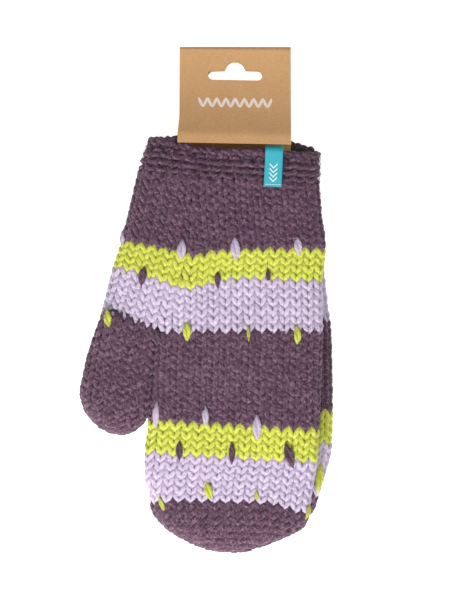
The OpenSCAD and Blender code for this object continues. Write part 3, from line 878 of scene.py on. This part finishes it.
# ---- accent stitches
# Long stitches laid over the row lines: x, rise of the middle above the line, length, width,
# how far the lower end stands to the right of the upper one, and for one of them a lift off the wool
ACCENTS = [
    ("wrist_lilac_accents", wide_skin, LIME_V, lilac_wool,
     [(-64.0, 2.4, 12, 3.6, -1.5), (-31.4, 1.9, 13, 4.6, -1.2), (0, 0.4, 17, 4.8, 0.8),
      (36.6, 2, 13.5, 4.0, 1.5)]),
    ("wrist_purple_accents", wide_skin, LILAC_V, purple_wool,
     [(-54, -1.3, 13.5, 4.2, -2), (-10.5, 1, 12.5, 3.2, 0.3), (19.2, 2.0, 10, 2.6, 0.8)]),
    ("palm_lime_accents", wide_skin, SPLIT_V, lime_wool,
     [(-73.4, -1.0, 11.5, 4.2, 1.0, 1.3), (-28.2, 0.6, 14.5, 4.2, 0.4), (7.6, -1.2, 11, 1.8, 0.6),
      (36.0, -2.0, 13, 3.8, 0.8)]),
    ("finger_lilac_accents", narrow_skin, FINGER_LIME_V, lilac_wool,
     [(-45.4, 6.2, 19, 3.4, -0.6), (-17.4, 6.8, 14, 3.4, 0.5), (12.8, 1.8, 17, 4.6, 0.4)]),
    ("finger_purple_accents", narrow_skin, FINGER_LILAC_V, purple_wool,
     [(-32.5, 4.4, 14, 3.6, 0.6), (-2.1, 4.6, 16, 3.2, 0.4), (31.4, 5.6, 17, 4.8, 5.5)]),
    ("finger_lime_accents", narrow_skin, TIP_V, lime_wool,
     [(-42.4, 1.2, 12, 2.4, 4), (-15.6, 9.2, 13.5, 4.2, 3), (12.4, 7.0, 10, 2.0, 1.6),
      (40.6, 3.6, 11, 3.0, -2.4)]),
]
# On the rear mitten the last one stands higher, where it shows past the front mitten's edge
REAR_LAST = (41.0, 14.5, 19, 4.6, 0.6)


def accents(side, place, hand, fingers):
    """All the accent stitches of one mitten, each row of them one piece."""
    for name, skin, line, material, stitches in ACCENTS:
        if side == "rear" and name == "finger_lime_accents":
            stitches = stitches[:-1] + [REAR_LAST]
        parts = [part for stitch in stitches for part in accent(skin, line, *stitch)]
        piece = mesh_piece(f"{side}_{name}_yarn", parts, place, material,
                           fingers if name.startswith("finger") else hand)
        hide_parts(f"{side}_{name}")


accents("front", to_front, "front_hand", "front_fingers")
accents("rear", to_rear, "rear_hand", "rear_hand")


# ---- fleece linings
LINING_INSET = KNIT_T + 0.4
# The fleece stops short of the ends, so that none of it shows between their stitches
LINING_SHORT = 9
wide_lining = Skin(wide_loop, -2, SPLIT_V + 2, LINING_INSET)
narrow_lining = Skin(narrow_loop, SPLIT_V - 2, HAND_V, LINING_INSET)
thumb_lining = Skin(thumb_loop, -2, THUMB_L, LINING_INSET)
# The fleece reaches almost to the cuff's edge
FLEECE_EDGE = 1.8


def linings(side, place, hand, rng):
    """The fleece inside one mitten, in the pieces that its body parts need."""
    def fleece(skin, start, end, closed):
        return [wall(skin, start, end, 0, -FLEECE_T + 0.3, closed, 1.6, 190, rng)]
    wrist = mesh_piece(side + "_wrist_fleece", fleece(wide_lining, FLEECE_EDGE, SPLIT_V, False), place,
                       charcoal_fleece, hand)
    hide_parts(side + "_wrist_lining")
    pocket = fleece(narrow_lining, SPLIT_V, HAND_V - LINING_SHORT, True)
    if side == "front":
        palm = mesh_piece("front_finger_fleece", pocket, place, charcoal_fleece)
        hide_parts("front_palm_lining", "front_finger_lining")
        line = bend_line(place)
        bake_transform(palm)
    else:
        palm = mesh_piece("rear_finger_fleece", pocket, place, charcoal_fleece, hand)
        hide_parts("rear_finger_lining")
    tip = mesh_piece(side + "_thumb_fleece", fleece(thumb_lining, 0, THUMB_L - LINING_SHORT, True),
                     place, charcoal_fleece)
    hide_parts(side + "_thumb_lining")
    base, far = thumb_line(place)
    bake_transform(tip)


linings("front", to_front, "front_hand", np.random.default_rng(9))
linings("rear", to_rear, "rear_hand", np.random.default_rng(10))


# ---- label
CHEVRON_PITCH = 2.6
CHEVRON_REACH = 2.3


def satin_material():
    """Woven satin ribbon with a generic column of chevrons woven down its middle."""
    material, tree, shader = new_material("teal_satin", Roughness=0.42, Sheen_Weight=0.2,
                                          Sheen_Roughness=0.3, Specular_IOR_Level=0.5)
    calc = partial(math_node, tree)
    place = attribute(tree, "yarn", "Vector")
    axes = add(tree, "SeparateXYZ", {0: place})
    across = calc("ABSOLUTE", axes.outputs[0])
    down = calc("SUBTRACT", axes.outputs[1], across)
    chevron = calc("LESS_THAN", calc("FRACT", calc("DIVIDE", down, CHEVRON_PITCH)), 0.36)
    for near in (calc("LESS_THAN", across, CHEVRON_REACH), calc("GREATER_THAN", down, CHEVRON_PITCH),
                 calc("LESS_THAN", down, 5 * CHEVRON_PITCH)):
        chevron = calc("MULTIPLY", chevron, near)
    threads = add(tree, "TexWave", {"Vector": place, "Scale": 1.6, "Distortion": 0.4}, bands_direction="Y")
    grain = noise(tree, place, 1.5, 3.0)
    teal = ramp(tree, grain, [(0.3, srgb(0, 158, 176)), (0.7, srgb(24, 184, 200))])
    colour = mix(tree, calc("MULTIPLY", chevron, 0.9), teal, srgb(232, 244, 246))
    finish(tree, shader, colour, calc("ADD", threads.outputs[1], chevron), 0.5, 0.15)
    return material


def thread_material():
    material, tree, shader = new_material("white_thread", Roughness=0.6, Sheen_Weight=0.2)
    place = add(tree, "TexCoord").outputs["Object"]
    # The greyer bands along the twist are painted shade in the grooves between the thread's plies
    twist = add(tree, "TexWave", {"Vector": place, "Scale": 900.0, "Distortion": 1.0},
                bands_direction="DIAGONAL")
    colour = ramp(tree, twist.outputs[1], [(0.0, srgb(214, 222, 222)), (1.0, srgb(246, 246, 244))])
    finish(tree, shader, colour)
    return material


LABEL_LEAN = math.radians(2.6)
# Height above the surface that the yarn is laid on
LABEL_LIFT = 3.9
# Where the ribbon starts to turn inward, how much longer it is outside than in the CAD model, and
# how far it goes on inside
LABEL_EDGE = -1.8
LABEL_DROP = 2.3
LABEL_INSIDE = 9.0
LABEL_THICK = 0.4
LABEL_SAG = 0.25
TURN_R = 4.2
SEW_COUNT = 7
SEW_PITCH = 1.35
SEW_LENGTH = 0.95
SEW_DROP = 1.3
SEW_R = 0.17


def label():
    """The ribbon: down the outside of the cuff, over its edge and on down inside."""
    outside = np.linspace(LABEL_EDGE - LABEL_RUN - LABEL_DROP, LABEL_EDGE, 26)
    arc = np.linspace(np.pi / 2, -np.pi / 2, 17)[1:]
    across = np.linspace(-LABEL_W / 2, LABEL_W / 2, 15)
    # The ribbon follows the surface that the cuff's yarn is laid on, and so bridges the yarn's bumps
    v = np.clip(2.5 - outside * 0.94, 2.5, None)
    c = np.array([wide_skin.arc_at(LABEL_X, row) for row in v])
    surface = wide_skin.at(c, v)[:, 2] + LABEL_LIFT
    line = list(zip(outside, surface))
    top = surface[-1]
    line += [(LABEL_EDGE + TURN_R * math.cos(a), top - TURN_R + TURN_R * math.sin(a)) for a in arc]
    line += [(LABEL_EDGE - k, top - 2 * TURN_R) for k in np.linspace(1, LABEL_INSIDE, 10)]
    line = np.array(line)
    run = distances(line)
    out = unit(np.column_stack([-np.gradient(line[:, 1]), np.gradient(line[:, 0])]))
    layers = []
    for thick in (0, -LABEL_THICK):
        spot = line + out * (thick + 0.1 * np.sin(run / 2.7))[:, None]
        x = LABEL_X + across[None, :] + (spot[:, :1] + 9) * math.sin(LABEL_LEAN)
        dip = -LABEL_SAG * (across[None, :] / LABEL_W * 2) ** 4
        y = spot[:, :1] - across[None, :] * math.sin(LABEL_LEAN)
        layers.append(np.stack([x, y, spot[:, 1:] + dip], -1).reshape(-1, 3))
    rows, columns = len(line), len(across)
    i, j = np.arange(rows - 1)[:, None], np.arange(columns - 1)[None, :]
    upper = np.stack([i * columns + j, i * columns + j + 1, (i + 1) * columns + j + 1,
                      (i + 1) * columns + j], -1).reshape(-1, 4)
    count = rows * columns
    border = np.concatenate([np.arange(columns), np.arange(1, rows) * columns + columns - 1,
                             np.arange(count - 2, count - columns - 1, -1),
                             np.arange(rows - 2, 0, -1) * columns])
    beside = np.roll(border, -1)
    rim = np.stack([border, border + count, beside + count, beside], -1)
    weave = np.column_stack([np.tile(across, rows), np.repeat(run, columns), np.zeros(count)])
    part = (np.concatenate(layers), np.concatenate([upper, upper[:, ::-1] + count, rim]),
            np.concatenate([weave, weave]), np.zeros(count * 2))
    ribbon = mesh_piece("label_ribbon", [part], to_front, satin_material(), "front_hand")
    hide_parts("label")
    stitches = []
    s = np.linspace(-0.5, 0.5, 9)
    y, z = (np.interp(SEW_DROP, run, line[:, k]) for k in (0, 1))
    for k in range(SEW_COUNT):
        x = (k - SEW_COUNT // 2) * SEW_PITCH + s * SEW_LENGTH
        bow = 0.22 - 0.9 * s ** 2 - LABEL_SAG * (x / LABEL_W * 2) ** 4
        path = np.column_stack([LABEL_X + x + (y + 9) * math.sin(LABEL_LEAN),
                                y - x * math.sin(LABEL_LEAN), z + bow])
        stitches.append(strand(path, np.full(len(s), SEW_R), float(k)))
    sewing = mesh_piece("label_sewing", stitches, to_front, thread_material(), "front_hand")
    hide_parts("label_stitches")


label()


# ---- header card
# The printed row: its distance from the fold, its pitch, and the place, lean and size of a stitch's leg
PRINT_DROP = 34.5
PRINT_PITCH = 5.4
LEG_X = 1.45
LEG_LEAN = math.radians(24)
LEG_W = 0.85
LEG_L = 3.3
BACK_Z = HAND_T / 2 + 1.5
FOLD_GAP = 0.75
# How far above the cuff's edge the front leaf's end and its score lie
LEAF_END = 3.9
LEAF_SCORE = LEAF_END + LIP_H
# Length that the front leaf's fold and lean take up
LEAF_SPARE = 3.6
SCORE_RISE = LEAF_RISE - 1.2
LEAF_CURVE = 2.2
LIP_LEAN = 0.16
LIP_FLARE = 3.2
LEAF_SKEW = math.radians(1.1)


def kraft_material():
    """Brown kraft board: pulp fibres and specks, and a printed row of knit stitches."""
    material, tree, shader = new_material("kraft_card", Roughness=0.72, Specular_IOR_Level=0.3)
    calc = partial(math_node, tree)
    place, print_on = attribute(tree, "yarn", "Vector"), attribute(tree, "height", "Fac")
    long_way = add(tree, "Mapping", {"Vector": place, "Scale": (0.35, 1.6, 1.0)}).outputs[0]
    pulp = noise(tree, long_way, 1.2, 6.0, 0.75)
    colour = ramp(tree, pulp, [(0.25, srgb(178, 134, 88)), (0.5, srgb(202, 157, 109)),
                               (0.8, srgb(218, 176, 128))])
    specks = noise(tree, place, 1.9, 3.0, 0.8)
    dark = ramp(tree, specks, [(0.25, srgb(120, 84, 50)), (0.38, WHITE)])
    colour = clouded(tree, multiplied(tree, colour, dark, 0.55), place, 0.07, 0.93)
    x, y = add(tree, "SeparateXYZ", {0: place}).outputs[:2]
    cell = calc("FRACT", calc("DIVIDE", x, PRINT_PITCH))
    # Distance from the middle of a stitch, the same on both sides, and then from the leg's middle
    off = calc("ABSOLUTE", calc("SUBTRACT", calc("MULTIPLY", cell, PRINT_PITCH), PRINT_PITCH / 2))
    off = calc("SUBTRACT", off, LEG_X)
    down = calc("ADD", y, PRINT_DROP)
    cos, sin = math.cos(LEG_LEAN), math.sin(LEG_LEAN)
    across = calc("SUBTRACT", calc("MULTIPLY", off, cos), calc("MULTIPLY", down, sin))
    along = calc("ADD", calc("MULTIPLY", off, sin), calc("MULTIPLY", down, cos))
    across, along = (calc("POWER", calc("DIVIDE", way, size), 2.0)
                     for way, size in ((across, LEG_W), (along, LEG_L)))
    leg = calc("LESS_THAN", calc("ADD", across, along), 1.0)
    within = calc("LESS_THAN", calc("ABSOLUTE", x), PRINT_PITCH * 4)
    ink = calc("MULTIPLY", calc("MULTIPLY", leg, within), print_on)
    colour = mix(tree, calc("MULTIPLY", ink, 0.85), colour, srgb(236, 226, 220))
    finish(tree, shader, colour, pulp, 0.35, 0.08)
    return material


def slot_outline():
    """The hanging slot's outline (x, distance down from the fold), with its round crown."""
    flat = SLOT_W / 2 - SLOT_H / 2
    base = SLOT_DROP - SLOT_H / 2
    crown = [(CROWN_R * math.cos(a), base + 0.6 - CROWN_R * math.sin(a))
             for a in np.linspace(math.radians(8), math.radians(172), 24)]
    ends = [(side * (flat + SLOT_H / 2 * math.sin(a)), SLOT_DROP + side * SLOT_H / 2 * math.cos(a))
            for side in (-1, 1) for a in np.linspace(0, np.pi, 12)]
    return crown + ends


def inside(polygon, x, y):
    """Whether a point is inside a closed outline."""
    found = False
    for (x0, y0), (x1, y1) in zip(polygon, polygon[1:] + polygon[:1]):
        if (y0 > y) != (y1 > y) and x < (x1 - x0) * (y - y0) / (y1 - y0) + x0:
            found = not found
    return found


def card_leaf(name, length, shape, node, body, printed):
    """A leaf of card with the slot cut out. shape(x, s) gives its points and outward directions."""
    step = 1.6
    xs = np.linspace(-CARD_W / 2, CARD_W / 2, int(CARD_W / step))
    ss = np.linspace(0, length, int(length / step))
    hole = slot_outline()
    border = ([(x, 0) for x in xs] + [(CARD_W / 2, s) for s in ss[1:]]
              + [(x, length) for x in xs[::-1][1:]] + [(-CARD_W / 2, s) for s in ss[::-1][1:-1]])
    grid = [(x, s) for x in xs[1:-1] for s in ss[1:-1]
            if not (abs(x) < SLOT_W / 2 + 0.8 and abs(s - SLOT_DROP + 2.5) < SLOT_H + 1.8)]
    points = [Vector(p) for p in border + hole + grid]
    n, m = len(border), len(hole)
    edges = [(k, (k + 1) % n) for k in range(n)] + [(n + k, n + (k + 1) % m) for k in range(m)]
    made = delaunay_2d_cdt(points, edges, [], 0, 1e-5)
    flat = np.array([tuple(p) for p in made[0]])
    faces = [f for f in made[2] if not inside(hole, *flat[list(f)].mean(0))]
    used = np.unique(np.array(faces))
    number = {old: new for new, old in enumerate(used)}
    faces = np.array([[number[k] for k in f] for f in faces])
    flat = flat[used]
    if np.cross(*(flat[faces[0][1:]] - flat[faces[0][0]])) < 0:
        faces = faces[:, ::-1]
    place, out = shape(flat[:, 0], flat[:, 1])
    count = len(flat)
    half = np.concatenate([faces[:, [0, 1]], faces[:, [1, 2]], faces[:, [2, 0]]])
    known = {tuple(e) for e in half}
    # The cut edges have points of their own, so that the faces beside them are shaded flat
    cut = np.array([e for e in half if (e[1], e[0]) not in known])
    edge = np.unique(cut)
    near = np.searchsorted(edge, cut) + 2 * count
    far = near + len(edge)
    rim = np.stack([near[:, 1], near[:, 0], far[:, 0], far[:, 1]], -1)
    back = place - out * CARD_T
    paper = np.column_stack([flat[:, 0], -flat[:, 1], np.zeros(count)])
    print_mark = np.zeros(2 * count + 2 * len(edge))
    print_mark[:count] = float(printed)
    part = (np.concatenate([place, back, place[edge], back[edge]]), faces,
            np.concatenate([paper, paper, paper[edge], paper[edge]]), print_mark,
            [faces[:, ::-1] + count, rim])
    leaf = mesh_piece(name, [part], to_front, kraft_card, body)
    leaf.data.polygons.foreach_set("use_smooth", np.concatenate(
        [np.ones(len(faces) * 2, bool), np.zeros(len(rim), bool)]))
    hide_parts(node)


def back_shape(x, s):
    """The back leaf lies flat, from the fold down to the end of its tongue."""
    z = BACK_Z + CARD_T + 0.1 * np.sin(s / 14) * np.cos(x / 20)
    return np.column_stack([x, CARD_RISE - s, z]), np.tile([0, 0, 1.0], (len(x), 1))


def front_shape(x, s):
    """The front leaf turns over the fold, leans up ever faster to the score and ends in a lip."""
    fold = FOLD_GAP / 2
    turn = np.pi * fold
    low = BACK_Z + CARD_T + FOLD_GAP
    reach = CARD_RISE - LEAF_SCORE
    run = np.linspace(0, 1, 200)
    height = low + SCORE_RISE * run ** LEAF_CURVE
    along = np.concatenate([[0], np.cumsum(np.hypot(np.diff(run) * reach, np.diff(height)))]) + turn
    share = np.interp(s, along, run)
    y = CARD_RISE - share * reach
    z = low + SCORE_RISE * share ** LEAF_CURVE
    past = np.maximum(s - along[-1], 0)
    y = np.where(past > 0, LEAF_SCORE - past * math.cos(LIP_LEAN), y)
    z = np.where(past > 0, height[-1] + past * math.sin(LIP_LEAN), z)
    angle = np.clip(s / turn, 0, 1) * np.pi
    y = np.where(s < turn, CARD_RISE + fold * np.sin(angle), y)
    z = np.where(s < turn, low - fold - fold * np.cos(angle), z)
    # The left end of the lip flares out, and the whole leaf sits a little askew
    x = x - LIP_FLARE * smooth((s - along[-1] + 14) / 19) * smooth(-x / CARD_W - 0.1)
    y = y - x * LEAF_SKEW * smooth(s / 4)
    nearby = np.gradient(height, run * reach)
    tilt = np.arctan(np.where(past > 0, math.tan(LIP_LEAN), np.interp(share, run, nearby)))
    out = np.column_stack([np.zeros_like(x), np.sin(tilt), np.cos(tilt)])
    rolled = np.column_stack([np.zeros_like(x), np.sin(angle), -np.cos(angle)])
    return np.column_stack([x, y, z]), np.where((s < turn)[:, None], rolled, out)


kraft_card = kraft_material()
card_leaf("card_back", CARD_RISE + TONGUE_L, back_shape, "card_back_leaf", "header_card", False)
card_leaf("card_front", CARD_RISE - LEAF_END + LEAF_SPARE, front_shape, "card_front_leaf", "card_leaf", True)


# ---- stage, light and camera
def stage_and_light():
    floor_mesh = bpy.data.meshes.new("floor")
    floor_mesh.from_pydata([(-3, -3, 0), (3, -3, 0), (3, 3, 0), (-3, 3, 0)], [], [(0, 1, 2, 3)])
    material, _, _ = new_material("floor", Base_Color=(0.9, 0.9, 0.9, 1), Roughness=0.9,
                                  Emission_Color=(1, 1, 1, 1), Emission_Strength=0.72)
    floor_mesh.materials.append(material)
    floor = stand("floor", floor_mesh)
    world = bpy.data.worlds.new("studio")
    world.use_nodes = True
    background = world.node_tree.nodes["Background"].inputs
    background[0].default_value = WHITE
    background[1].default_value = 0.44
    scene.world = world
    for name, place, size, power in (("key", (-0.4, -1.55, 1.05), 0.6, 48),
                                     ("fill", (0.9, 0.7, 1.4), 1.2, 5)):
        light = bpy.data.lights.new(name, "AREA")
        light.size = size
        light.energy = power
        lamp = stand(name, light)
        lamp.location = place
        lamp.rotation_euler = (-Vector(place)).to_track_quat("-Z", "Y").to_euler()


def camera():
    """Straight above the pair, with the cuffs and the card toward the top of the picture."""
    height, view_h, sensor = 2.0, 0.36, 36.0
    eye = bpy.data.cameras.new("camera")
    eye.sensor_width = sensor
    eye.lens = sensor * height / view_h
    eye.clip_end = 20
    seat = stand("camera", eye)
    seat.location = (0.0106, 0.0012, height)
    scene.camera = seat


stage_and_light()
camera()
scene.view_settings.view_transform = "Standard"
